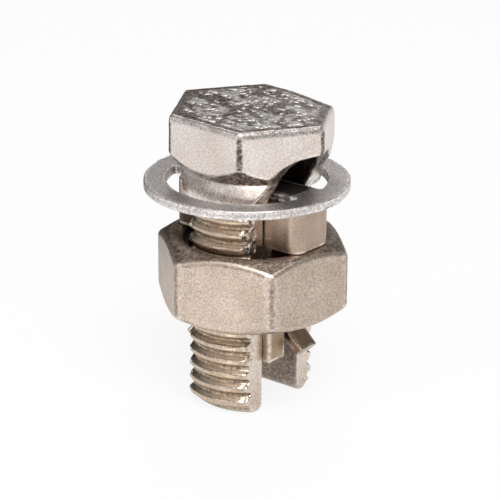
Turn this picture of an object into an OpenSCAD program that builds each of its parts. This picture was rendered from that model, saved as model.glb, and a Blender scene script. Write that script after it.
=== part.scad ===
// Split bolt connector with a spacer, for clamping two electrical conductors
// side by side. A slotted bolt, a hex nut, a pressure bar that the nut carries
// up the slot, and a flat spacer that keeps the two conductors apart.
//
// Z runs up the bolt, with the leg ends on Z = 0. The slot, and so the
// conductors, run along X. The two legs stand on the -Y and +Y sides.

/* [Thread] */
// Major diameter of the thread on the legs
thread_d = 11.11; // [10:0.01:13]
// Pitch of the right-hand thread
thread_pitch = 1.27; // [1:0.01:1.6]
// Depth of the thread from crest to root
thread_depth = 0.74; // [0.5:0.01:0.85]
// Height at which the thread ends under the neck
thread_top = 18.9; // [17:0.1:22]

/* [Slot and legs] */
// Width of the slot between the legs
slot_w = 4.88; // [4:0.02:5.4]
// Width of the legs across the flats at the slot's two mouths
leg_flats = 6.3; // [5.6:0.1:7]
// Diameter of the leg ends, where the taper meets the ground
tip_d = 8.98; // [8:0.02:9.6]
// Height of the taper at the leg ends
tip_h = 0.78; // [0.4:0.02:1.4]
// Corner cut of the leg ends below the flats
tip_corner = 0.2; // [0.1:0.05:0.8]
// Chamfer along the slot's edges at the leg ends
mouth_chamfer = 0.5; // [0.2:0.05:0.8]

/* [Neck and head] */
// Diameter of the plain neck between the thread and the head
neck_d = 12.1; // [11.6:0.05:12.6]
// Height at which the plain neck starts to widen into the head
neck_top = 21.25; // [20.9:0.05:21.6]
// Chamfer at the foot of the neck
neck_chamfer = 0.3; // [0.1:0.05:0.5]
// Width of the head across its flats
head_af = 13.15; // [12.8:0.05:14]
// Slope of the head's underside above the horizontal
head_slope = 49.5; // [45:0.5:54]
// Height of the head's top face
head_top = 26.35; // [25.4:0.05:28]
// Height of the bevel round the top of the head
head_bevel_h = 0.42; // [0.2:0.02:0.6]
// Width of the bevel round the top of the head
head_bevel_w = 0.3; // [0.1:0.02:0.5]

/* [Conductor saddle] */
// Height of the axis of the slot's half-round roof
saddle_z = 20.9; // [20.6:0.05:21.1]
// Distance of the neck's mouth face from the bolt's axis, at its foot
throat_foot = 3.5; // [3.2:0.05:3.9]
// Lean of the neck's mouth face from the upright
throat_lean = 30; // [26:0.5:34]
// Radius that turns the mouth face into the ledge under the head
throat_r = 2.2; // [1.6:0.1:2.6]
// Rise of the ledge above the slot's roof
ledge_rise = 0.06; // [0.04:0.01:0.2]

/* [Nut] */
// Width of the nut across its flats
nut_af = 15; // [14.6:0.1:16]
// Height of the nut
nut_h = 6.63; // [5:0.01:7.4]
// Height of the nut's lower face above the leg ends
nut_z = 8.28; // [7.8:0.01:9]
// Turn of the nut's corners from the X axis
nut_turn = 19.9; // [0:0.1:60]
// Diameter of the flat ring left on each face by the corner chamfer
nut_face_d = 14.1; // [13.6:0.05:14.4]
// Angle of the corner chamfer
nut_chamfer = 30; // [20:1:35]
// Running clearance of the nut's bore round the thread crests
nut_clear = 0.05; // [0.02:0.01:0.1]
// Diameter of the countersink on both faces
nut_sink_d = 12.66; // [12:0.02:13.2]

/* [Pressure bar] */
// Length of the pressure bar along the slot
bar_l = 13.5; // [12:0.1:14.6]
// Clearance of the pressure bar on each side in the slot
bar_clear = 0.08; // [0.04:0.01:0.2]
// Height of the pressure bar above the nut
bar_h = 4.2; // [3.6:0.02:4.4]
// Radius of the pressure bar's upright corners
bar_corner = 1.15; // [0.6:0.05:1.5]
// Distance of the tongues' outer faces from the bolt's axis
tongue_x = 3.83; // [3.5:0.01:4.2]
// Thickness of the tongues that hang through the nut
tongue_t = 0.9; // [0.6:0.05:1.2]
// Length of the straight prongs below the nut
prong_drop = 3.84; // [3:0.02:4]
// Width of the saw cut that splits each tongue into two prongs
prong_cut = 0.4; // [0.2:0.05:0.6]
// Drop below the nut at which the ears bend outwards
ear_drop = 1.5; // [1.2:0.05:1.8]
// Reach of the ears beyond the tongue
ear_reach = 1.57; // [1.4:0.01:1.8]
// Angle of the ears below the horizontal
ear_slope = 44.5; // [40:0.5:50]

/* [Spacer] */
// Outer diameter of the spacer
spacer_d = 17.65; // [16.4:0.05:18.4]
// Diameter of the hole in the spacer, before its crossbar
spacer_hole_d = 13.8; // [13.4:0.05:14.2]
// Thickness of the spacer
spacer_t = 0.77; // [0.5:0.01:0.9]
// Width of the crossbar that runs through the slot
crossbar_w = 3; // [2:0.05:3.4]
// Distance that the loose spacer lies off the bolt's axis along the slot
spacer_shift_x = 0.4; // [0:0.05:0.4]
// Distance that the loose spacer lies off the bolt's axis across the slot
spacer_shift_y = 0.2; // [0:0.05:0.25]

/* [Hidden] */
$fn = 96;

bolt_tint = [0.82, 0.78, 0.74];
nut_tint = [0.74, 0.67, 0.59];
bar_tint = [0.66, 0.58, 0.50];
spacer_tint = [0.70, 0.69, 0.68];

thread_r = thread_d / 2;
root_r = thread_r - thread_depth;
head_r = head_af / sqrt(3);
head_corner_z = neck_top + (head_r - neck_d / 2) * tan(head_slope);
ledge_z = saddle_z + slot_w / 2 + ledge_rise;
nut_top = nut_z + nut_h;
nut_r = nut_af / sqrt(3);
bore_r = thread_r + nut_clear;
bar_w = slot_w - 2 * bar_clear;
bar_top = nut_top + bar_h;
spacer_top = bar_top + spacer_t;

// Thread form, as fractions of one pitch: root, rising flank, crest, falling flank
thread_phase = [0, 0.22, 0.5, 0.72];
thread_steps = 36;
// The helix starts below the leg ends and runs on past the neck, to be cut off there
thread_start = -1.5 * thread_pitch;
thread_turns = ceil((thread_top - thread_start) / thread_pitch) + 2;

// Straight pieces in the arc of the throat
throat_steps = 8;

// How far a cut runs past the surface that it opens
past = 1;
// How far the tongues run up into the pressure bar
tongue_root = bar_h / 2;

// Places a flat profile drawn as [x, z] upright, as thick as w along Y
module upright(w) {
    rotate([90, 0, 0]) linear_extrude(w, center = true) children();
}

// Radius of the thread at each of its four phases
function thread_radius(phase_no) = phase_no < 2 ? root_r : thread_r;

// One point of the helical surface: row follows the helix, step goes round it
function thread_point(row, step) =
    let (phase_no = row % 4, turn = floor(row / 4), a = 360 * step / thread_steps)
    let (r = thread_radius(phase_no))
    [r * cos(a), r * sin(a),
     thread_pitch * (turn + thread_phase[phase_no] + step / thread_steps)];

// A threaded rod on the Z axis, one closed surface of helical strips
module thread_rod(turns) {
    rows = 4 * turns;
    points = concat(
        [for (row = [0 : rows], step = [0 : thread_steps - 1]) thread_point(row, step)],
        [[0, 0, 0], [0, 0, thread_pitch * (turns + 1)]]);
    // A step past the seam is the first step of the row one turn up
    function at(row, step) =
        step < thread_steps ? row * thread_steps + step : (row + 4) * thread_steps;
    foot = len(points) - 2;
    crown = len(points) - 1;
    last = rows - 4;
    polyhedron(points, concat(
        [for (row = [0 : last - 1], step = [0 : thread_steps - 1]) each [
            [at(row, step), at(row + 1, step), at(row, step + 1)],
            [at(row, step + 1), at(row + 1, step), at(row + 1, step + 1)]]],
        [for (step = [0 : thread_steps - 1]) [foot, at(0, step), at(0, step + 1)]],
        [for (row = [0 : 3]) [foot, at(row + 1, 0), at(row, 0)]],
        [for (step = [0 : thread_steps - 1]) [crown, at(last, step + 1), at(last, step)]],
        [for (row = [last : last + 3]) [crown, at(row, 0), at(row + 1, 0)]]));
}

// The threaded shank before the slot is cut, with its tapered end
module shank() {
    intersection() {
        translate([0, 0, thread_start]) thread_rod(thread_turns);
        rotate_extrude() polygon([
            [0, 0], [tip_d / 2, 0], [thread_r + past, tip_h + past * tip_h / (thread_r - tip_d / 2)],
            [thread_r + past, thread_top + past / 2], [0, thread_top + past / 2]]);
    }
}

// Neck and underside of the head, turned about the bolt's axis
module neck() {
    rotate_extrude() polygon([
        [0, thread_top], [neck_d / 2 - neck_chamfer, thread_top],
        [neck_d / 2, thread_top + neck_chamfer],
        [neck_d / 2, neck_top], [head_r, head_corner_z], [0, head_corner_z]]);
}

// Hex head: its faces end in arcs below, where the cone of the underside cuts them
module head() {
    intersection() {
        union() {
            neck();
            translate([0, 0, head_corner_z])
                cylinder(r = head_r + past, h = head_top - head_corner_z);
        }
        union() {
            cylinder(r = head_r, h = head_top - head_bevel_h, $fn = 6);
            translate([0, 0, head_top - head_bevel_h])
                cylinder(r1 = head_r, r2 = head_r - head_bevel_w, h = head_bevel_h, $fn = 6);
        }
    }
}

// The slot with its half-round roof and the chamfer along its lower edges
module slot() {
    reach = head_r + past;
    translate([-reach, -slot_w / 2, -past])
        cube([2 * reach, slot_w, saddle_z + past]);
    translate([0, 0, saddle_z]) rotate([0, 90, 0])
        cylinder(d = slot_w, h = 2 * reach, center = true);
    foot = slot_w / 2 + mouth_chamfer + past;
    rotate([0, 0, 90]) upright(2 * reach) polygon([
        [-foot, -past], [foot, -past],
        [slot_w / 2, mouth_chamfer], [-slot_w / 2, mouth_chamfer]]);
}

// Arc that turns the leaning mouth face into the level ledge
function throat_arc() =
    let (arc_z = ledge_z - throat_r, start_z = arc_z + throat_r * sin(throat_lean))
    let (start_x = throat_foot + (start_z - thread_top) * tan(throat_lean))
    let (arc_x = start_x + throat_r * cos(throat_lean), turn = 90 - throat_lean)
    [for (i = [0 : throat_steps]) let (a = throat_lean + turn * i / throat_steps)
        [arc_x - throat_r * cos(a), arc_z + throat_r * sin(a)]];

// Outline seen along Y: legs, neck and head may not stand out beyond it
module side_outline() {
    leg = leg_flats / 2;
    right = concat(
        [[leg - tip_corner, -past], [leg - tip_corner, 0], [leg, tip_corner],
         [leg, thread_top], [throat_foot, thread_top]],
        throat_arc(),
        [[head_r + past, ledge_z], [head_r + past, head_top + past]]);
    left = [for (i = [len(right) - 1 : -1 : 0]) [-right[i][0], right[i][1]]];
    upright(2 * (head_r + past)) polygon(concat(right, left));
}

module split_bolt() {
    color(bolt_tint) difference() {
        intersection() {
            union() {
                shank();
                head();
            }
            side_outline();
        }
        slot();
    }
}

// Hex nut, chamfered and countersunk on both faces
module nut() {
    rise = (nut_r + past - nut_face_d / 2) * tan(nut_chamfer);
    sink_h = nut_sink_d / 2 - bore_r;
    color(nut_tint) translate([0, 0, nut_z]) difference() {
        intersection() {
            rotate([0, 0, nut_turn]) cylinder(r = nut_r, h = nut_h, $fn = 6);
            rotate_extrude() polygon([
                [0, 0], [nut_face_d / 2, 0], [nut_r + past, rise],
                [nut_r + past, nut_h - rise], [nut_face_d / 2, nut_h], [0, nut_h]]);
        }
        rotate_extrude() polygon([
            [0, -past], [nut_sink_d / 2 + past, -past], [bore_r, sink_h],
            [bore_r, nut_h - sink_h], [nut_sink_d / 2 + past, nut_h + past], [0, nut_h + past]]);
    }
}

// Block of the pressure bar, with round upright corners, standing on the nut
module bar_block() {
    inset_x = bar_l / 2 - bar_corner;
    inset_y = bar_w / 2 - bar_corner;
    translate([0, 0, nut_top]) {
        translate([-bar_l / 2, -inset_y, 0]) cube([bar_l, 2 * inset_y, bar_h]);
        translate([-inset_x, -bar_w / 2, 0]) cube([2 * inset_x, bar_w, bar_h]);
        for (x = [-inset_x, inset_x], y = [-inset_y, inset_y])
            translate([x, y, 0]) cylinder(r = bar_corner, h = bar_h);
    }
}

// One tongue: it hangs through the nut, split into a straight prong and a bent ear
module tongue() {
    inner = tongue_x - tongue_t;
    prong_z = nut_z - prong_drop;
    bend_z = nut_z - ear_drop;
    half = (bar_w - prong_cut) / 2;
    back = tongue_t * tan((90 - ear_slope) / 2);
    tip = [tongue_x + ear_reach, bend_z - ear_reach * tan(ear_slope)];
    translate([inner, -bar_w / 2, prong_z])
        cube([tongue_t, half, nut_top - prong_z + tongue_root]);
    translate([inner, -bar_w / 2, bend_z + back])
        cube([tongue_t, bar_w, nut_top - bend_z + tongue_root - back]);
    translate([0, (bar_w - half) / 2, 0]) upright(half) polygon([
        [inner, nut_z], [tongue_x, nut_z], [tongue_x, bend_z], tip,
        [tip[0] - tongue_t * sin(ear_slope), tip[1] - tongue_t * cos(ear_slope)],
        [inner, bend_z - back]]);
}

module pressure_bar() {
    color(bar_tint) union() {
        bar_block();
        for (side = [0, 180]) rotate([0, 0, side]) tongue();
    }
}

// Flat spacer: a ring round the legs, with a crossbar through the slot
module spacer() {
    color(spacer_tint) translate([-spacer_shift_x, -spacer_shift_y, bar_top]) {
        difference() {
            cylinder(d = spacer_d, h = spacer_t);
            translate([0, 0, -past]) cylinder(d = spacer_hole_d, h = spacer_t + 2 * past);
        }
        reach = (spacer_d + spacer_hole_d) / 4;
        translate([-reach, -crossbar_w / 2, 0]) cube([2 * reach, crossbar_w, spacer_t]);
    }
}

split_bolt();
nut();
pressure_bar();
spacer();
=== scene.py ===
"""A split bolt connector on a white table.

A slotted hex bolt, its nut, the pressure bar that the nut drives up the slot, and a loose flat
spacer. Each piece is a closed surface worked out from a signed distance: a formula that gives, for
every point of space, how far outside (above 0) or inside (below 0) the metal the point lies. The
formulas are in millimetres, +Z up the bolt, X along the slot.
"""
import logging
import math
from collections.abc import Callable
from dataclasses import dataclass, field
from enum import Enum

import bpy
import numpy as np
from mathutils import Matrix, Vector


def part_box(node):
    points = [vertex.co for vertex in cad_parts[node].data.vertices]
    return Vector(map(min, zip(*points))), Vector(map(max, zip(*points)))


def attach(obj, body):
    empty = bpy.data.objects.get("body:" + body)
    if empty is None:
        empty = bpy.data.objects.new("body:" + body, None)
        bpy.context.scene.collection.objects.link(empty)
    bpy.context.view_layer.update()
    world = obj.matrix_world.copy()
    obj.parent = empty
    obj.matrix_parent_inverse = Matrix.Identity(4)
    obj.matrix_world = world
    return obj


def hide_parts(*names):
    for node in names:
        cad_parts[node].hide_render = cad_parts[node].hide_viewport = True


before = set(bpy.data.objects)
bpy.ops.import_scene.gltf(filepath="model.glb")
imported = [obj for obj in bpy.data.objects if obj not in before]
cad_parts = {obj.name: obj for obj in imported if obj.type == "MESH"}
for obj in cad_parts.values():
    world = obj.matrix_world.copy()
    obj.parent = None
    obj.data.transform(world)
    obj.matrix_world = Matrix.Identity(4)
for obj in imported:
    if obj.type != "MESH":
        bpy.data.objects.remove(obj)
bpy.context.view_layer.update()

log = logging.getLogger("split_bolt")
MM = 0.001
Array = np.ndarray
Distance = Callable[[Array, Array, Array], Array]
Socket = bpy.types.NodeSocket


# ---------------------------------------------------------------- shapes as distances

def round_max(a: Array, b: Array, radius: float) -> Array:
    """Keeps what lies inside both shapes, and rounds the edge between them.

    Each distance is raised by the radius and cut off at 0. The result is the length of the pair,
    less the radius, or the larger distance where both lie deeper than the radius.

    Args:
        a: Distance to the first shape.
        b: Distance to the second shape.
        radius: Radius of the rounded edge.

    Returns:
        Distance to the common part.
    """
    raised = np.hypot(np.maximum(a + radius, 0), np.maximum(b + radius, 0))
    return np.minimum(np.maximum(a, b), -radius) + raised


def round_min(a: Array, b: Array, radius: float) -> Array:
    """Joins two shapes with a fillet of that radius: round_max of the two outsides."""
    return -round_max(-a, -b, radius)


def cut(body: Array, tool: Array, radius: float) -> Array:
    """Takes a tool's shape out of a body and rounds the edge that this leaves."""
    return round_max(body, -tool, radius)


def between(value: Array, low: float, high: float) -> Array:
    """Distance to the slab from low to high: half the slab's width below 0 at its middle."""
    return np.abs(value - (low + high) / 2) - (high - low) / 2


def hexagon(x: Array, y: Array, flats: float, turn: float, radius: float) -> Array:
    """Distance to an upright hexagonal bar.

    Three slabs at 60 degrees to each other, each as wide as the flats, cut one another.

    Args:
        x: First coordinate.
        y: Second coordinate.
        flats: Width across the flats.
        turn: Angle of one corner from the X axis, in degrees.
        radius: Radius of the six upright edges.

    Returns:
        Distance to the bar.
    """
    result = None
    for face in (30, 90, 150):
        a = math.radians(face + turn)
        slab = np.abs(x * math.cos(a) + y * math.sin(a)) - flats / 2
        result = slab if result is None else round_max(result, slab, radius)
    return result


def soft_step(value: Array) -> Array:
    """Rises from 0 to 1 with level ends: 3 t squared less 2 t cubed."""
    t = np.clip(value, 0, 1)
    return t * t * (3 - 2 * t)


def rise(value: Array, start: float, width: float) -> Array:
    """Rises softly from 0 at the start to 1 one width above it."""
    return soft_step((value - start) / width)


def fall(value: Array, end: float, width: float) -> Array:
    """Falls softly to 0 at the end, from 1 one width below it."""
    return soft_step((end - value) / width)


class Mark(Enum):
    """What a surface attribute says about a place on the metal."""

    HOLLOW = "hollow"  # how deep it lies in a gap, where grime stays and painted shade darkens it
    WORN_AND_HIGHLIGHT = "worn_and_highlight"      # how far it is lightened: plate rubbed bright, and painted highlights
    BARE = "bare"      # how far the warm alloy shows through the plate
    TARNISH_AND_SHADE = "tarnish_and_shade"      # how dark it is: tarnish, and painted shade


@dataclass(frozen=True)
class Ripple:
    """A smooth random field: the mean of plane waves in random directions.

    Attributes:
        length: Wavelength in millimetres.
        seed: Seed of the directions and phases.
        stretch: Factors that draw the waves out along X, Y and Z.
        waves: How many waves are added.
    """

    length: float
    seed: int
    stretch: tuple = (1.0, 1.0, 1.0)
    waves: int = 20

    def at(self, x: Array, y: Array, z: Array) -> Array:
        """Value of the field, about -1 to 1: the sum of cos(k . p + phase), scaled."""
        rng = np.random.default_rng(self.seed)
        way = rng.normal(size=(self.waves, 3))
        way /= np.linalg.norm(way, axis=1)[:, None]
        size = rng.uniform(0.7, 1.5, self.waves)
        k = way * size[:, None] * 2 * math.pi / self.length / np.array(self.stretch)
        phase = rng.uniform(0, 2 * math.pi, self.waves)
        total = sum(np.cos(a * x + b * y + c * z + p) for (a, b, c), p in zip(k, phase))
        return total / math.sqrt(self.waves / 2) / 1.6


@dataclass(frozen=True)
class Helix:
    """A helical ridge round the Z axis.

    Attributes:
        pitch: Rise of one turn.
        start: Height at which the helix starts on the X axis.
        crest_phase: Middle of the crest, as a share of one turn.
        crest_half: Half of the crest's width, as a share of the pitch.
        root_half: Half of the root's width, as a share of the pitch.
    """

    pitch: float = 1.27
    start: float = -1.905
    crest_phase: float = 0.61
    crest_half: float = 0.08
    root_half: float = 0.04

    def height(self, x: Array, y: Array, z: Array) -> Array:
        """Height of the ridge, 1 on its crest and 0 in its root.

        The phase is the height in turns, less the angle in turns. Its distance from the crest's
        middle runs from 0 to half a turn, and a soft step over the flank turns it into the height.
        """
        phase = (z - self.start) / self.pitch - np.arctan2(y, x) / (2 * math.pi)
        away = np.abs(np.mod(phase - self.crest_phase + 0.5, 1) - 0.5)
        flank = 0.5 - self.crest_half - self.root_half
        return soft_step((0.5 - self.root_half - away) / flank)


# ---------------------------------------------------------------- surfaces from distances

@dataclass
class Skin:
    """The zero surface of a distance, as a mesh of quads.

    Attributes:
        points: Corners, one row each, in millimetres.
        quads: Four corner numbers a face, turned outwards.
        normals: Outward unit normals at the corners.
        steep: How fast the distance grows outwards at the corners.
    """

    points: Array
    quads: Array
    normals: Array
    steep: Array


def net(distance: Distance, low: Array, high: Array, pitch: float) -> tuple:
    """Wraps a net of quads round a shape.

    Space is divided into cubes. A cube whose corners lie on both sides of the surface gets one
    point, the mean of the places where its edges cross the surface. Each cube edge that crosses
    the surface gets one quad, between the points of its four cubes.

    Args:
        distance: Function of x, y and z that gives the distance.
        low: Lowest corner of the space.
        high: Highest corner of the space.
        pitch: Side of the cubes.

    Returns:
        The points and the quads.
    """
    axes = [np.arange(a - 1.5 * pitch, b + 2.5 * pitch, pitch) for a, b in zip(low, high)]
    grid = [axes[0][:, None, None], axes[1][None, :, None], axes[2][None, None, :]]
    value = distance(*[g.astype(np.float32) for g in grid]).astype(np.float32)
    inside = value < 0
    corners = [(i, j, k) for i in (0, 1) for j in (0, 1) for k in (0, 1)]
    shape = np.array(value.shape) - 1

    def shifted(array: Array, c: tuple) -> Array:
        """The array as seen from one corner of every cube."""
        return array[c[0]:c[0] + shape[0], c[1]:c[1] + shape[1], c[2]:c[2] + shape[2]]

    count = sum(shifted(inside, c).astype(np.int8) for c in corners)
    active = (count > 0) & (count < 8)
    number = np.full(active.shape, -1, np.int32)
    cells = np.argwhere(active)
    number[active] = np.arange(len(cells), dtype=np.int32)
    at_corner = {c: shifted(value, c)[active] for c in corners}
    total = np.zeros((len(cells), 3))
    crossings = np.zeros(len(cells))
    for a in corners:
        for axis in range(3):
            if a[axis]:
                continue
            b = tuple(v + (n == axis) for n, v in enumerate(a))
            crossed = (at_corner[a] < 0) != (at_corner[b] < 0)
            step = at_corner[a] - at_corner[b]
            share = at_corner[a] / np.where(crossed, step, 1)
            place = np.array(a, float)[None, :] + share[:, None] * (np.arange(3) == axis)
            total += np.where(crossed[:, None], place, 0)
            crossings += crossed
    origin = np.array([a[0] for a in axes])
    points = origin + pitch * (cells + total / crossings[:, None])
    quads = []
    for axis in range(3):
        order = [axis, (axis + 1) % 3, (axis + 2) % 3]
        side = inside.transpose(order)
        cube = number.transpose(order)
        first, second = side[:-1, 1:-1, 1:-1], side[1:, 1:-1, 1:-1]
        ring = np.stack([cube[:, :-1, :-1], cube[:, 1:, :-1],
                         cube[:, 1:, 1:], cube[:, :-1, 1:]], -1)
        out = first & ~second
        back = second & ~first
        quads += [ring[out], ring[back][:, ::-1]]
    return points, np.concatenate(quads)


def gradient(distance: Distance, points: Array, step: float = 0.004) -> Array:
    """Slope of the distance at the points, by the difference over a small step along each axis."""
    result = np.empty_like(points)
    for axis in range(3):
        nudge = np.zeros(3)
        nudge[axis] = step
        ahead, behind = points + nudge, points - nudge
        result[:, axis] = (distance(*ahead.T) - distance(*behind.T)) / (2 * step)
    return result


def settle(distance: Distance, points: Array, reach: float, rounds: int = 5) -> Array:
    """Draws points onto the surface: each moves down the slope by its distance over the slope.

    Args:
        distance: Function of x, y and z that gives the distance.
        points: Points near the surface.
        reach: The most that a point may move in one round.
        rounds: How many times the points move.

    Returns:
        The points on the surface.
    """
    for _ in range(rounds):
        slope = gradient(distance, points)
        square = np.maximum((slope ** 2).sum(1), 1e-4)
        move = slope * (distance(*points.T) / square)[:, None]
        length = np.linalg.norm(move, axis=1)[:, None]
        points = points - move * np.minimum(1, reach / np.maximum(length, 1e-9))
    return points


# ---------------------------------------------------------------- finishes

@dataclass(frozen=True)
class Finish:
    """Tin plate on a copper alloy, as it comes out on one piece.

    Attributes:
        name: Name of the material.
        colour: Main colour.
        tint: Colour of the warmer blotches.
        bare: Colour where the alloy shows through.
        bright: Colour where the plate is rubbed, and of the painted highlights.
        grime_and_shade: Colour in the hollows and where it has tarnished, and of the painted shade.
        roughness: Roughness of the plate.
        speckle: Share by which the fine grain lightens and darkens the colour.
        grain: Depth of the fine grain, in millimetres.
        grain_size: Size of the grain, in millimetres.
        grit_size: Size of the grit that tarnish and painted shade break up into, in millimetres.
        blotch_size: Size of the blotches, in millimetres.
    """

    name: str
    colour: tuple
    tint: tuple
    bare: tuple
    bright: tuple
    grime_and_shade: tuple
    roughness: float
    speckle: float = 0.13
    grain: float = 0.006
    grain_size: float = 0.16
    grit_size: float = 0.3
    blotch_size: float = 2.5

    def build(self) -> bpy.types.Material:
        """Makes the material: its marks and blotches as colour, its grain as colour and bump. The
        marks paint shade and highlights into the colour too.
        """
        material = bpy.data.materials.new(self.name)
        material.use_nodes = True
        tree = material.node_tree
        shader = tree.nodes["Principled BSDF"]
        shader.inputs["Metallic"].default_value = 1.0
        where = tree.nodes.new("ShaderNodeTexCoord").outputs["Object"]

        def noise(size_mm: float, detail: float) -> Socket:
            """A noise pattern of that size, as its factor socket."""
            node = tree.nodes.new("ShaderNodeTexNoise")
            node.inputs["Scale"].default_value = 1 / (size_mm * MM)
            node.inputs["Detail"].default_value = detail
            tree.links.new(where, node.inputs["Vector"])
            return node.outputs["Fac"]

        def ramp(source: Socket, low: float, high: float, first: float,
                 last: float) -> Socket:
            """Maps low..high of the source to first..last."""
            node = tree.nodes.new("ShaderNodeMapRange")
            for name, value in (("From Min", low), ("From Max", high),
                                ("To Min", first), ("To Max", last)):
                node.inputs[name].default_value = value
            tree.links.new(source, node.inputs["Value"])
            return node.outputs["Result"]

        def sum_up(operation: str, first: Socket | float, last: Socket | float) -> Socket:
            """Adds, multiplies or takes the larger of two values, each a socket or a number."""
            node = tree.nodes.new("ShaderNodeMath")
            node.operation = operation
            for socket, value in zip(node.inputs, (first, last)):
                if isinstance(value, float):
                    socket.default_value = value
                else:
                    tree.links.new(value, socket)
            return node.outputs[0]

        def blend(share: Socket, first: Socket | tuple, last: Socket | tuple) -> Socket:
            """Mixes two colours, each a socket or a colour."""
            node = tree.nodes.new("ShaderNodeMix")
            node.data_type = "RGBA"
            for socket, value in ((node.inputs["Factor"], share), (node.inputs[6], first),
                                  (node.inputs[7], last)):
                if isinstance(value, tuple):
                    socket.default_value = (*value, 1)
                else:
                    tree.links.new(value, socket)
            return node.outputs[2]

        def mark(kind: Mark) -> Socket:
            """The piece's attribute of that kind, as a factor socket."""
            node = tree.nodes.new("ShaderNodeAttribute")
            node.attribute_name = kind.value
            return node.outputs["Fac"]

        blotch = noise(self.blotch_size, 4)
        fleck = noise(self.blotch_size / 4, 5)
        grain = noise(self.grain_size, 3)
        plate = blend(ramp(blotch, 0.35, 0.65, 0, 1), self.colour, self.tint)
        patchy = ramp(fleck, 0.35, 0.6, 0.55, 1)
        plate = blend(sum_up("MULTIPLY", mark(Mark.BARE), patchy), plate, self.bare)
        # Painted shade: hollows and the tarnish-and-shade mark darken the plate towards the
        # grime-and-shade colour, along with real grime and tarnish.
        dirt_and_shade = sum_up("MAXIMUM", ramp(mark(Mark.HOLLOW), 0.15, 0.9, 0, 0.9), mark(Mark.TARNISH_AND_SHADE))
        grit = sum_up("ADD", ramp(dirt_and_shade, 0, 1, 0, 1.6), ramp(noise(self.grit_size, 4), 0, 1, 0, 1.2))
        plate = blend(ramp(grit, 1.1, 1.7, 0, 0.96), plate, self.grime_and_shade)
        # Painted highlight: the worn-and-highlight mark lightens the plate towards the bright
        # colour, along with real wear on edges.
        rubbed_and_highlight = sum_up("MULTIPLY", mark(Mark.WORN_AND_HIGHLIGHT), ramp(fleck, 0.38, 0.56, 0.1, 1))
        plate = blend(rubbed_and_highlight, plate, self.bright)
        light, dark = 1 + self.speckle, 1 - self.speckle
        speck = ramp(grain, 0.36, 0.64, dark, light)
        tone = tree.nodes.new("ShaderNodeVectorMath")
        tone.operation = "SCALE"
        tree.links.new(plate, tone.inputs[0])
        tree.links.new(speck, tone.inputs["Scale"])
        tree.links.new(tone.outputs["Vector"], shader.inputs["Base Color"])
        rough = ramp(grain, 0.3, 0.7, self.roughness - 0.06, self.roughness + 0.08)
        rough = sum_up("ADD", rough, ramp(dirt_and_shade, 0, 1, 0, 0.12))
        tree.links.new(rough, shader.inputs["Roughness"])
        bump = tree.nodes.new("ShaderNodeBump")
        bump.inputs["Strength"].default_value = 1.0
        bump.inputs["Distance"].default_value = self.grain * MM
        tree.links.new(grain, bump.inputs["Height"])
        tree.links.new(bump.outputs["Normal"], shader.inputs["Normal"])
        return material


BOLT_FINISH = Finish("bolt_plate", colour=(0.80, 0.725, 0.68), tint=(0.71, 0.62, 0.56),
                     bare=(0.60, 0.45, 0.31), bright=(0.92, 0.88, 0.84),
                     grime_and_shade=(0.07, 0.05, 0.035), roughness=0.30, speckle=0.17)
NUT_FINISH = Finish("nut_plate", colour=(0.58, 0.48, 0.405), tint=(0.50, 0.405, 0.33),
                    bare=(0.60, 0.46, 0.33), bright=(0.86, 0.78, 0.70),
                    grime_and_shade=(0.07, 0.045, 0.03), roughness=0.40, speckle=0.26)
BAR_FINISH = Finish("bar_plate", colour=(0.50, 0.39, 0.31), tint=(0.42, 0.32, 0.25),
                    bare=(0.38, 0.28, 0.18), bright=(0.80, 0.70, 0.60),
                    grime_and_shade=(0.06, 0.04, 0.028), roughness=0.34)
SPACER_FINISH = Finish("spacer_plate", colour=(0.68, 0.64, 0.62), tint=(0.60, 0.56, 0.54),
                       bare=(0.6, 0.5, 0.4), bright=(0.82, 0.78, 0.76),
                       grime_and_shade=(0.12, 0.10, 0.09), roughness=0.44, speckle=0.28)


# ---------------------------------------------------------------- pieces

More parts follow.
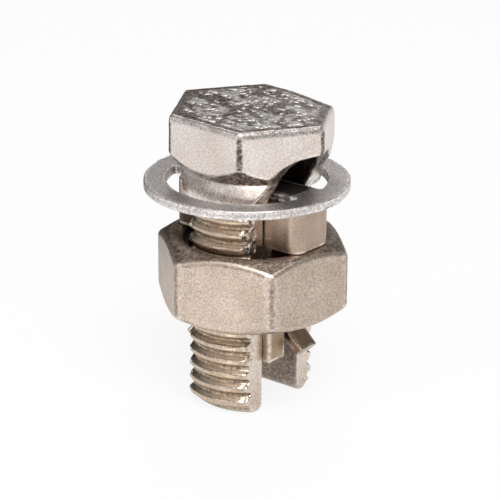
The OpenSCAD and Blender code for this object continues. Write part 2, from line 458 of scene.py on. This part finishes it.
@dataclass
class Piece:
    """One piece of the connector: its distance, its mesh and its finish.

    Attributes:
        name: Name of the CAD node that it stands for.
        body: Body that it rides on.
        slot: Material slot of the record; not used.
        finish: Its finish.
        pitch: Side of the cubes that its surface is worked out on.
        cavity: Depth of the gap that counts as a hollow.
        rim: Depth below the surface at which a worn edge is felt.
    """

    name: str
    body: str
    slot: str
    finish: Finish
    pitch: float = 0.12
    cavity: float = 0.5
    rim: float = 0.35
    low: Array = field(init=False)
    high: Array = field(init=False)

    def __post_init__(self) -> None:
        """Takes the piece's box from the frame, in millimetres."""
        self.low, self.high = (np.array(corner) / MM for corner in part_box(self.name))

    def distance(self, x: Array, y: Array, z: Array) -> Array:
        """Distance to the plain shape."""
        raise NotImplementedError

    def relief(self, x: Array, y: Array, z: Array) -> Array:
        """Height that the finished surface stands above the plain shape."""
        return np.zeros_like(x)

    def finished(self, x: Array, y: Array, z: Array) -> Array:
        """Distance to the finished surface: the plain distance less the relief."""
        return self.distance(x, y, z) - self.relief(x, y, z)

    def skin(self) -> Skin:
        """Works out the finished surface, kept inside the CAD box."""
        points, quads = net(self.distance, self.low, self.high, self.pitch)
        points = settle(self.finished, points, self.pitch / 2)
        points = np.clip(points, self.low, self.high)
        slope = gradient(self.finished, points)
        steep = np.maximum(np.linalg.norm(slope, axis=1), 1e-6)
        return Skin(points, quads, slope / steep[:, None], steep)

    def marks(self, skin: Skin) -> dict:
        """Marks of use and painted shade in hollows, each from 0 to 1 at every corner of the
        surface.

        A point ahead of a flat face is as far outside as it is ahead, and less far in a hollow. A
        point behind it is as deep inside, and less deep under an edge.
        """
        ahead = skin.points + self.cavity * skin.normals
        behind = skin.points - self.rim * skin.normals
        gap = self.distance(*ahead.T) / skin.steep / self.cavity
        depth = -self.distance(*behind.T) / skin.steep / self.rim
        return {Mark.HOLLOW: 1 - np.clip(gap, 0, 1),
                Mark.WORN_AND_HIGHLIGHT: np.clip(3 * (1 - depth), 0, 1),
                Mark.BARE: np.zeros(len(skin.points)),
                Mark.TARNISH_AND_SHADE: np.zeros(len(skin.points))}

    def mesh(self, skin: Skin) -> bpy.types.Mesh:
        """Puts a surface into a mesh, with its normals and its marks."""
        mesh = bpy.data.meshes.new(self.name)
        faces = len(skin.quads)
        mesh.vertices.add(len(skin.points))
        mesh.vertices.foreach_set("co", (skin.points * MM).astype(np.float32).ravel())
        mesh.loops.add(4 * faces)
        mesh.loops.foreach_set("vertex_index", skin.quads.astype(np.int32).ravel())
        mesh.polygons.add(faces)
        mesh.polygons.foreach_set("loop_start", np.arange(0, 4 * faces, 4, dtype=np.int32))
        mesh.polygons.foreach_set("loop_total", np.full(faces, 4, np.int32))
        mesh.update(calc_edges=True)
        mesh.validate()
        mesh.polygons.foreach_set("use_smooth", np.ones(faces, bool))
        mesh.normals_split_custom_set_from_vertices(skin.normals.astype(np.float32))
        for mark, value in self.marks(skin).items():
            attribute = mesh.attributes.new(mark.value, "FLOAT", "POINT")
            attribute.data.foreach_set("value", np.clip(value, 0, 1).astype(np.float32))
        return mesh

    def build(self) -> bpy.types.Object:
        """Builds the piece, dresses it and sets it on its body in place of its CAD node."""
        piece = bpy.data.objects.new(self.name + "_skin", self.mesh(self.skin()))
        bpy.context.scene.collection.objects.link(piece)
        piece.data.materials.append(self.finish.build())
        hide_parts(self.name)
        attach(piece, self.body)
        log.info("%s: %d faces", piece.name, len(piece.data.polygons))
        return piece


@dataclass
class SplitBolt(Piece):
    """Slotted hex bolt: threaded legs, plain neck, hex head and half-round saddle."""

    thread: Helix = field(default_factory=Helix)
    thread_r: float = 5.555
    thread_depth: float = 0.46
    thread_top: float = 18.9
    slot_half: float = 2.44
    leg_half: float = 3.15
    leg_wide: float = 0.3
    tip_r: float = 4.49
    tip_h: float = 0.78
    tip_corner: float = 0.2
    mouth_chamfer: float = 0.5
    neck_r: float = 6.05
    neck_top: float = 21.25
    neck_chamfer: float = 0.3
    neck_sweep: float = 0.25
    head_flats: float = 13.15
    head_slope: float = 49.5
    bevel_h: float = 0.42
    bevel_w: float = 0.26
    saddle_z: float = 20.9
    throat_foot: float = 3.5
    throat_lean: float = 30.0
    throat_r: float = 2.2
    ledge_rise: float = 0.06
    edge: float = 0.14
    head_edge: float = 0.36
    slump_middle: float = 0.25
    slump_x: float = 0.025
    slump_y: float = 0.02
    corner_drop: float = 0.4
    corner_spread: float = 2.0
    hammer_h: float = 0.06
    hammer_inset: float = 0.7
    flank_scale: float = 0.5
    tear: float = 0.12

    def shank(self, x: Array, y: Array, z: Array, r: Array) -> Array:
        """The threaded rod with its tapered end."""
        ridge = self.thread.height(x, y, z)
        rod = (r - self.thread_r + self.thread_depth * (1 - ridge)) * self.flank_scale
        slope = (self.thread_r - self.tip_r) / self.tip_h
        taper = (r - self.tip_r - z * slope) / math.hypot(1, slope)
        rod = round_max(rod, taper, self.edge / 2)
        rod = round_max(rod, -z, self.edge)
        return np.maximum(rod, z - self.thread_top - 1)

    def slump(self, x: Array, y: Array) -> Array:
        """How far the forged top lies below its full height.

        It falls away evenly towards +X and +Y, and by a bell curve more at one corner, which the
        metal has not filled.
        """
        even = np.maximum(self.slump_middle + self.slump_x * x + self.slump_y * y, 0)
        corner = self.head_flats / 2 * np.array([math.tan(math.pi / 6), 1])
        away = (x - corner[0]) ** 2 + (y - corner[1]) ** 2
        return even + self.corner_drop * np.exp(-away / (2 * self.corner_spread ** 2))

    def head(self, x: Array, y: Array, z: Array, r: Array) -> Array:
        """Neck and hex head: a turned underside that cuts the hex bar in arcs."""
        top = self.high[2] - self.slump(x, y)
        above = z - self.neck_top
        swept = (above + np.sqrt(above ** 2 + self.neck_sweep ** 2)) / 2
        slope = math.radians(self.head_slope)
        turned = (r - self.neck_r - swept / math.tan(slope)) * math.sin(slope)
        bar = hexagon(x, y, self.head_flats, 0, self.head_edge)
        bevel = (bar * self.bevel_h + (z - top + self.bevel_h) * self.bevel_w)
        bevel = bevel / math.hypot(self.bevel_h, self.bevel_w)
        crown = round_max(round_max(bar, bevel, self.edge), z - top, self.edge)
        foot = self.thread_top - z
        chamfer = (r - self.neck_r + self.neck_chamfer + foot) * math.sqrt(0.5)
        body = round_max(turned, crown, self.edge)
        return round_max(round_max(body, chamfer, self.edge / 2), foot, self.edge / 2)

    def throat(self, out: Array, z: Array) -> Array:
        """Distance to the space outside the neck's mouth face and under the head's ledge.

        The mouth face leans outwards, the ledge is level, and an arc that touches both joins them.
        Between the two lines from the arc's centre to where it touches them, the distance is the
        distance from the centre less the radius. Elsewhere it is the larger of the two planes'.

        Args:
            out: Distance from the YZ plane.
            z: Height.

        Returns:
            Distance to the space.
        """
        lean = math.radians(self.throat_lean)
        ledge = self.saddle_z + self.slot_half + self.ledge_rise
        arc_z = ledge - self.throat_r
        start_z = arc_z + self.throat_r * math.sin(lean)
        start_x = self.throat_foot + (start_z - self.thread_top) * math.tan(lean)
        arc_x = start_x + self.throat_r * math.cos(lean)
        face = (self.throat_foot - out) * math.cos(lean) + (z - self.thread_top) * math.sin(lean)
        du, dv = out - arc_x, z - arc_z
        turning = (du * math.sin(lean) + dv * math.cos(lean) > 0) & (du < 0)
        space = np.where(turning, np.hypot(du, dv) - self.throat_r, np.maximum(face, z - ledge))
        return np.maximum(space, self.thread_top - z)

    def sides(self, x: Array, z: Array) -> Array:
        """What is cut away outside the flats of the legs and the throat of the saddle."""
        out = np.abs(x)
        half = self.leg_half + self.leg_wide * (x < 0)
        legs = np.maximum(half - out, z - self.thread_top)
        corner = (half - self.tip_corner - out + z) * math.sqrt(0.5)
        return np.minimum(np.minimum(legs, corner), self.throat(out, z))

    def distance(self, x: Array, y: Array, z: Array) -> Array:
        """Distance to the bolt: rod and head, less the sides, the slot and its lower chamfer."""
        r = np.hypot(x, y)
        body = round_min(self.shank(x, y, z, r), self.head(x, y, z, r), self.edge)
        body = cut(body, self.sides(x, z), self.edge)
        slot = np.hypot(y, np.maximum(z - self.saddle_z, 0)) - self.slot_half
        body = cut(body, slot, self.edge)
        chamfer = (np.abs(y) - self.slot_half - self.mouth_chamfer + z) * math.sqrt(0.5)
        return cut(body, chamfer, self.edge)

    def relief(self, x: Array, y: Array, z: Array) -> Array:
        """Forging unevenness of the head, raised patches on its top, and torn thread edges."""
        forged = rise(z, self.thread_top, 2)
        uneven = 0.012 * Ripple(2.6, 3).at(x, y, z) + 0.004 * Ripple(0.9, 4).at(x, y, z)
        torn = fall(z, self.thread_top, 0.5) * rise(np.hypot(x, y), 4.5, 0.4)
        torn = torn * rise(np.abs(x), 2.5, 0.5) * (0.4 + 0.6 * rise(z, 12, 2))
        ragged = self.tear * (Ripple(0.8, 5).at(x, y, z) - 0.5)
        patches = self.hammer_h * self.hammered(x, y, z)
        return forged * uneven + torn * np.minimum(ragged, 0) + patches

    def hammered(self, x: Array, y: Array, z: Array) -> Array:
        """Raised patches on the head's forged top, 1 on their backs and 0 between them.

        They lie where the weighted sum of four random fields, each finer than the last, is high.
        The two middle ones are drawn out along X and along Y. The patches stop short of the top's
        edge.
        """
        flat = 0 * z
        rough = sum(share * Ripple(length, seed, drawn).at(x, y, flat)
                    for share, length, seed, drawn in
                    ((0.6, 4.0, 8, (1.0, 1.0, 1.0)), (0.9, 1.1, 9, (2.0, 1.0, 1.0)),
                     (0.7, 0.8, 10, (1.0, 2.0, 1.0)), (0.3, 0.5, 12, (1.0, 1.0, 1.0))))
        patch = rise(rough, -0.18, 0.4)
        edge = hexagon(x, y, self.head_flats, 0, 1.0) + self.hammer_inset
        return patch * soft_step(-edge / 0.6) * rise(z, self.high[2] - 1.2, 0.2)

    def marks(self, skin: Skin) -> dict:
        """Bare alloy on the thread, tarnish in pits down the head's corners, painted shade in the
        slot, under the head, on its forged top and in the thread's grooves, and painted highlights
        on the neck and the top's raised patches.
        """
        marks = super().marks(skin)
        x, y, z = skin.points.T
        r = np.hypot(x, y)
        up = skin.normals[:, 2]
        below = fall(z, self.thread_top + 0.2, 0.4)
        above = 1 - below
        on_neck = above * fall(z, self.neck_top + 0.1, 0.3)
        threaded = rise(r, 4.5, 0.2) * fall(x, self.leg_half - 0.05, 0.1)
        wall = fall(np.hypot(y, np.maximum(z - self.saddle_z, 0)) - self.slot_half, 0.2, 0.12)
        top = rise(up, 0.75, 0.2) * rise(z, 25, 0.3)
        pits = rise(r, 7.36, 0.1) * fall(z, 25.9, 0.3) * above

        marks[Mark.HOLLOW] = marks[Mark.HOLLOW] * (1 - on_neck) * (1 - 0.15 * below)
        marks[Mark.BARE] = below * (0.45 + 0.55 * threaded)
        # Painted shade in the thread's grooves.
        groove = 0.5 * below * threaded * fall(self.thread.height(x, y, z), 0.35, 0.4)
        # Painted shade on the slot's walls, deeper higher up the slot.
        slot = wall * (0.45 + 0.55 * rise(z, 13, 5))
        # Painted shade on the faces under the head that look down.
        under = above * 0.6 * soft_step((-up - 0.25) / 0.2)
        # Painted shade on the forged top that faces up, joined with the slot, underside and
        # grooves.
        tarnish_and_shade = np.maximum(np.maximum(slot, under), np.maximum(0.58 * top, groove))
        marks[Mark.TARNISH_AND_SHADE] = np.maximum(tarnish_and_shade, 0.62 * pits)
        worn_and_highlight = marks[Mark.WORN_AND_HIGHLIGHT] * (0.7 - 0.3 * below) * (1 - pits)
        # Painted reflection of the bright table: the neck is lightened, and its hollow shade is
        # taken off above.
        worn_and_highlight = np.maximum(worn_and_highlight, 0.8 * on_neck * (1 - slot))
        # The raised patches on the forged top are lightened: rubbed plate and painted highlight.
        marks[Mark.WORN_AND_HIGHLIGHT] = np.maximum(worn_and_highlight, self.hammered(x, y, z) * top)
        return marks


@dataclass
class Nut(Piece):
    """Hex nut, chamfered and countersunk on both faces, with its thread."""

    thread: Helix = field(default_factory=Helix)
    flats: float = 15.0
    turn: float = 19.9
    face_r: float = 7.05
    chamfer: float = 30.0
    sink_r: float = 6.33
    bore_r: float = 5.605
    ridge: float = 0.6
    clearance: float = 0.12
    edge: float = 0.3

    def distance(self, x: Array, y: Array, z: Array) -> Array:
        """Distance to the nut: hex bar, chamfer cones, flat faces, bore and countersinks."""
        r = np.hypot(x, y)
        half = (self.high[2] - self.low[2]) / 2
        out = np.abs(z - (self.high[2] + self.low[2]) / 2) - half
        slope = math.radians(self.chamfer)
        cone = (r - self.face_r) * math.sin(slope) + out * math.cos(slope)
        body = hexagon(x, y, self.flats, self.turn, self.edge)
        body = round_max(body, cone, self.edge)
        body = round_max(body, out, self.edge / 2)
        crest = 1 - self.thread.height(x, y, z)
        bore = (self.bore_r - self.ridge * crest - r) * 0.5
        sink = (self.sink_r - r + out) * math.sqrt(0.5)
        hole = round_min(-bore, -sink, self.edge / 3)
        return cut(body, hole, self.edge / 2)

    def relief(self, x: Array, y: Array, z: Array) -> Array:
        """Slight unevenness of the plated faces."""
        return 0.008 * Ripple(2.0, 11).at(x, y, z)

    def marks(self, skin: Skin) -> dict:
        """Painted shade in the bore and on the level end faces, a darker line down each corner, and
        a painted highlight along each corner, strongest near its ends.
        """
        marks = super().marks(skin)
        x, y, _ = skin.points.T
        level = np.abs(skin.normals[:, 2])
        r = np.hypot(x, y)
        corner = self.flats / math.sqrt(3)
        # Painted shade inside the bore.
        bore = fall(r, self.sink_r - 0.1, 0.5)
        # A darker line down each upright corner.
        line = 0.5 * rise(r, corner - 0.19, 0.09)
        # The level end faces are darkened as painted shade.
        marks[Mark.TARNISH_AND_SHADE] = np.maximum(np.maximum(0.85 * bore, 0.5 * rise(level, 0.6, 0.25)), line)
        # A painted highlight along each corner, strongest near its ends.
        tip = rise(r, corner - 0.4, 0.1) * fall(np.abs(level - 0.4), 0.6, 0.5) * (1 - line)
        marks[Mark.WORN_AND_HIGHLIGHT] = 0.25 * marks[Mark.WORN_AND_HIGHLIGHT] + 0.7 * tip
        return marks


@dataclass
class PressureBar(Piece):
    """Bar that the nut drives up the slot, with its split tongues."""

    tongue_x: float = 3.83
    tongue_t: float = 0.9
    corner: float = 1.15
    nut_z: float = 8.28
    nut_top: float = 14.91
    ear_drop: float = 1.5
    ear_reach: float = 1.57
    ear_slope: float = 44.5
    prong_cut: float = 0.4
    edge: float = 0.14

    def distance(self, x: Array, y: Array, z: Array) -> Array:
        """Distance to the bar: a block with round upright corners and two tongues.

        The second tongue is the first turned by half a turn, so both are worked out at once from
        the distance from the YZ plane and from Y times the sign of X.
        """
        along, top = self.high[0], self.high[2]
        across = self.high[1]
        block = round_max(between(x, -along, along), between(y, -across, across), self.corner)
        block = round_max(block, between(z, self.nut_top, top), self.edge)
        out = np.abs(x)
        side = y * np.sign(x)
        inner = self.tongue_x - self.tongue_t
        strap = round_max(between(out, inner, self.tongue_x), between(y, -across, across),
                          self.edge)
        prong = round_max(strap, self.low[2] - z, self.edge)
        prong = round_max(prong, side + self.prong_cut / 2, self.edge)
        bend_z = self.nut_z - self.ear_drop
        slope = math.radians(self.ear_slope)
        face = (out - self.tongue_x) * math.sin(slope) + (z - bend_z) * math.cos(slope)
        run = (out - self.tongue_x) * math.cos(slope) - (z - bend_z) * math.sin(slope)
        back = self.tongue_t * math.tan((math.pi / 2 - slope) / 2)
        upper = round_max(strap, bend_z - back - z, self.edge)
        ear = round_max(between(face, -self.tongue_t, 0),
                        between(run, -self.tongue_t, self.ear_reach / math.cos(slope)), self.edge)
        ear = np.maximum(ear, inner - out)
        ear = round_min(ear, upper, 0.25)
        ear = round_max(ear, between(side, self.prong_cut / 2, across), self.edge)
        neck = np.maximum(strap, between(z, bend_z, self.nut_top + 1))
        tongues = np.minimum(np.minimum(prong, ear), neck)
        tongues = np.maximum(tongues, z - self.nut_top - 1)
        return round_min(block, tongues, self.edge)

    def relief(self, x: Array, y: Array, z: Array) -> Array:
        """Slight unevenness of the drawn bar."""
        return 0.01 * Ripple(1.8, 21, stretch=(1, 1, 3)).at(x, y, z)

    def marks(self, skin: Skin) -> dict:
        """Bare alloy on the tongues, and painted shade low on the -X end."""
        marks = super().marks(skin)
        x, _, z = skin.points.T
        marks[Mark.BARE] = fall(z, self.nut_z + 0.5, 0.5)
        # Painted shade low on the -X end of the bar.
        marks[Mark.TARNISH_AND_SHADE] = 0.95 * rise(-x, 3.5, 0.6) * fall(z, 17.9, 0.7)
        return marks


@dataclass
class Spacer(Piece):
    """Flat ring with a crossbar that runs through the slot."""

    hole_r: float = 6.9
    crossbar_half: float = 1.5
    edge: float = 0.1

    def distance(self, x: Array, y: Array, z: Array) -> Array:
        """Distance to the spacer: a ring joined with its crossbar, as thick as the strip."""
        middle = (self.low + self.high) / 2
        rim_r = (self.high[0] - self.low[0]) / 2
        x, y = x - middle[0], y - middle[1]
        r = np.hypot(x, y)
        ring = np.maximum(r - rim_r, self.hole_r - r)
        bar = np.maximum(np.abs(y) - self.crossbar_half, r - rim_r)
        flat = round_min(ring, bar, 0.3)
        return round_max(flat, between(z, self.low[2], self.high[2]), self.edge)

    def relief(self, x: Array, y: Array, z: Array) -> Array:
        """Slight waviness of the rolled strip."""
        return 0.008 * Ripple(2.5, 31).at(x, y, z)

    def marks(self, skin: Skin) -> dict:
        """Painted shade on the crossbar, where it lies in the slot."""
        marks = super().marks(skin)
        x, y, _ = (skin.points - (self.low + self.high) / 2).T
        # Painted shade within the hole's radius, on the crossbar.
        marks[Mark.TARNISH_AND_SHADE] = 0.92 * fall(np.hypot(x, y), self.hole_r - 0.6, 0.6)
        return marks


# ---------------------------------------------------------------- studio

@dataclass
class Studio:
    """Camera, table, cards and lamps.

    Attributes:
        azimuth: Turn of the camera round the bolt, in degrees from -Y towards +X.
        elevation: Angle of the camera above the table, in degrees.
        reach: Distance from the camera to the aim point, in millimetres.
        aim: Aim point: to the camera's right of the bolt's axis, and height.
        lens: Focal length, in millimetres.
        roll: Turn of the camera about its view, anticlockwise, in degrees.
    """

    azimuth: float = 38.4
    elevation: float = 20.66
    reach: float = 215.0
    aim: tuple = (-0.158, 13.28)
    lens: float = 180.0
    roll: float = 0.33
    dome_r: float = 0.62
    dome_light: float = 0.25
    table_half: float = 3.0

    def camera(self) -> None:
        """Sets the camera: its back axis points from the aim point to the camera."""
        turn, rise = math.radians(self.azimuth), math.radians(self.elevation)
        right = Vector((math.cos(turn), math.sin(turn), 0))
        back = Vector((math.sin(turn) * math.cos(rise), -math.cos(turn) * math.cos(rise),
                       math.sin(rise)))
        up = back.cross(right)
        aim = (right * self.aim[0] + Vector((0, 0, self.aim[1]))) * MM
        data = bpy.data.cameras.new("camera")
        data.lens = self.lens
        data.sensor_width = 36
        data.clip_start = 0.01
        camera = bpy.data.objects.new("camera", data)
        camera.matrix_world = (
            Matrix.Translation(aim + back * self.reach * MM)
            @ Matrix((right, up, back)).transposed().to_4x4()
            @ Matrix.Rotation(math.radians(self.roll), 4, "Z"))
        bpy.context.scene.collection.objects.link(camera)
        bpy.context.scene.camera = camera

    def polar(self, azimuth: float, elevation: float, reach: float) -> Vector:
        """Point round the bolt: azimuth to the camera's right, elevation, and reach in metres."""
        a, e = math.radians(self.azimuth + azimuth), math.radians(elevation)
        return Vector((math.sin(a) * math.cos(e), -math.cos(a) * math.cos(e),
                       math.sin(e))) * reach

    def lamp(self, name: str, azimuth: float, elevation: float, reach: float,
             size: tuple, power: float) -> None:
        """Adds a soft box that faces the connector."""
        data = bpy.data.lights.new(name, "AREA")
        data.shape = "RECTANGLE"
        data.size, data.size_y = size
        data.energy = power
        lamp = bpy.data.objects.new(name, data)
        place = self.polar(azimuth, elevation, reach)
        lamp.location = place
        target = Vector((0, 0, self.aim[1] * MM))
        lamp.rotation_euler = (place - target).to_track_quat("Z", "Y").to_euler()
        bpy.context.scene.collection.objects.link(lamp)

    def build(self) -> None:
        """Builds the whole studio."""
        self.camera()
        self.floor()
        self.world()
        self.tent()
        self.lamp("key", 10, 56, 0.5, (0.28, 0.28), 2.4)
        self.lamp("side", -60, 35, 0.5, (0.2, 0.3), 0.25)
        self.lamp("top", 176, 56, 0.5, (0.3, 0.24), 0.5)
        self.card("reflector", -33, (0.011, 0.075), (-0.09, 0.09), 0.0002, 2.2)
        self.flag("flag", -152, 0.045, 0.055, 0.05)

    def glow(self, name: str, strength: float) -> bpy.types.Material:
        """Matt black material that gives off white light of that strength."""
        material = bpy.data.materials.new(name)
        material.use_nodes = True
        shader = material.node_tree.nodes["Principled BSDF"]
        shader.inputs["Base Color"].default_value = (0, 0, 0, 1)
        shader.inputs["Roughness"].default_value = 1.0
        shader.inputs["Specular IOR Level"].default_value = 0.0
        shader.inputs["Emission Color"].default_value = (1, 1, 1, 1)
        shader.inputs["Emission Strength"].default_value = strength
        return material

    def mirrored_only(self, name: str, points: list, quads: list, strength: float) -> None:
        """Adds a sheet that shows in the metal, but not to the camera and without a shadow."""
        mesh = bpy.data.meshes.new(name)
        mesh.from_pydata(points, [], quads)
        mesh.materials.append(self.glow(name, strength))
        sheet = bpy.data.objects.new(name, mesh)
        sheet.visible_camera = False
        sheet.visible_shadow = False
        sheet.visible_diffuse = False
        bpy.context.scene.collection.objects.link(sheet)

    def card(self, name: str, azimuth: float, span: tuple, spread: tuple, height: float,
             strength: float) -> None:
        """Lays a bright wedge on the table, along one direction from the bolt.

        Args:
            name: Name of the card.
            azimuth: Direction from the bolt, to the camera's right, in degrees.
            span: Nearest and farthest distance from the bolt, in metres.
            spread: Half-widths as a share of the distance, on its two sides.
            height: Height above the table, in metres.
            strength: Brightness of the card.
        """
        corners = []
        for reach, side in ((span[0], 0), (span[0], 1), (span[1], 1), (span[1], 0)):
            turn = azimuth + math.degrees(spread[side])
            corners.append(tuple(self.polar(turn, 0, reach) + Vector((0, 0, height))))
        self.mirrored_only(name, corners, [(0, 1, 2, 3)], strength)

    def flag(self, name: str, azimuth: float, reach: float, width: float, height: float) -> None:
        """Stands a dark panel on the table, square to one direction from the bolt."""
        centre = self.polar(azimuth, 0, reach)
        across = self.polar(azimuth + 90, 0, width / 2)
        up = Vector((0, 0, height))
        corners = [centre - across, centre + across, centre + across + up, centre - across + up]
        self.mirrored_only(name, [tuple(corner) for corner in corners], [(0, 1, 2, 3)], 0.05)

    def tent(self) -> None:
        """Grey dome over the table, which the upward faces mirror.

        A grid of directions, by turn and by angle above the table, each carried out to the dome's
        radius. It is open below its lowest angle, where the white table shows.
        """
        rows, columns = 19, 48
        turn = np.linspace(0, 2 * math.pi, columns + 1)[None, :-1]
        rise_angle = np.radians(np.linspace(7, 88, rows))[:, None]
        ring = np.cos(rise_angle)
        points = self.dome_r * np.stack([ring * np.cos(turn), ring * np.sin(turn),
                                         np.sin(rise_angle) + 0 * turn], -1).reshape(-1, 3)
        row = np.arange(rows - 1)[:, None] * columns
        first = row + np.arange(columns)[None, :]
        after = row + (np.arange(columns)[None, :] + 1) % columns
        quads = np.stack([first, first + columns, after + columns, after], -1).reshape(-1, 4)
        mesh = bpy.data.meshes.new("dome")
        mesh.from_pydata(points.tolist(), [], quads.tolist())
        mesh.materials.append(self.glow("dome", self.dome_light))
        dome = bpy.data.objects.new("dome", mesh)
        dome.visible_camera = False
        bpy.context.scene.collection.objects.link(dome)

    def floor(self) -> None:
        """White table under the connector."""
        mesh = bpy.data.meshes.new("table")
        s = self.table_half
        mesh.from_pydata([(-s, -s, 0), (s, -s, 0), (s, s, 0), (-s, s, 0)], [], [(0, 1, 2, 3)])
        table = bpy.data.objects.new("table", mesh)
        bpy.context.scene.collection.objects.link(table)
        material = bpy.data.materials.new("table")
        material.use_nodes = True
        tree = material.node_tree
        tree.nodes.clear()
        out = tree.nodes.new("ShaderNodeOutputMaterial")
        matt = tree.nodes.new("ShaderNodeBsdfDiffuse")
        matt.inputs["Color"].default_value = (0.8, 0.8, 0.8, 1)
        glow = tree.nodes.new("ShaderNodeEmission")
        glow.inputs["Strength"].default_value = 1.0
        mix = tree.nodes.new("ShaderNodeMixShader")
        tree.links.new(seen_directly(tree, 0.88, 0.35), mix.inputs["Fac"])
        tree.links.new(matt.outputs[0], mix.inputs[1])
        tree.links.new(glow.outputs[0], mix.inputs[2])
        tree.links.new(mix.outputs[0], out.inputs["Surface"])
        mesh.materials.append(material)

    def world(self) -> None:
        """White to the camera and in the metal, softer as a light."""
        world = bpy.data.worlds.new("studio")
        world.use_nodes = True
        tree = world.node_tree
        back = tree.nodes["Background"]
        strength = tree.nodes.new("ShaderNodeMapRange")
        strength.inputs["To Min"].default_value = 0.6
        strength.inputs["To Max"].default_value = 1.0
        tree.links.new(seen_directly(tree, 1.0, 1.0), strength.inputs["Value"])
        tree.links.new(strength.outputs["Result"], back.inputs["Strength"])
        back.inputs["Color"].default_value = (1, 1, 1, 1)
        bpy.context.scene.world = world


def seen_directly(tree: bpy.types.NodeTree, seen: float, mirrored: float) -> Socket:
    """A share for rays from the camera, one for rays off metal or through glass, and 0 for others.

    Args:
        tree: Tree that the nodes go into.
        seen: Share for rays from the camera.
        mirrored: Share for glossy and transmission rays.

    Returns:
        The share, as a socket.
    """
    path = tree.nodes.new("ShaderNodeLightPath")
    total = None
    for ray, share in (("Is Camera Ray", seen), ("Is Glossy Ray", mirrored),
                       ("Is Transmission Ray", mirrored)):
        part = tree.nodes.new("ShaderNodeMath")
        part.operation = "MULTIPLY"
        part.inputs[1].default_value = share
        tree.links.new(path.outputs[ray], part.inputs[0])
        if total is not None:
            both = tree.nodes.new("ShaderNodeMath")
            both.operation = "ADD"
            tree.links.new(total, both.inputs[0])
            tree.links.new(part.outputs[0], both.inputs[1])
            part = both
        total = part.outputs[0]
    return total


def main() -> None:
    """Builds the studio and the four pieces."""
    logging.basicConfig(level=logging.INFO)
    bpy.context.scene.view_settings.view_transform = "Standard"
    Studio().build()
    SplitBolt("split_bolt", "bolt", "bolt", BOLT_FINISH, pitch=0.13).build()
    Nut("nut", "nut", "nut", NUT_FINISH, pitch=0.11).build()
    PressureBar("pressure_bar", "pressure_bar", "bar", BAR_FINISH, pitch=0.09).build()
    Spacer("spacer", "spacer", "spacer", SPACER_FINISH, pitch=0.09).build()


if __name__ == "__main__":
    main()
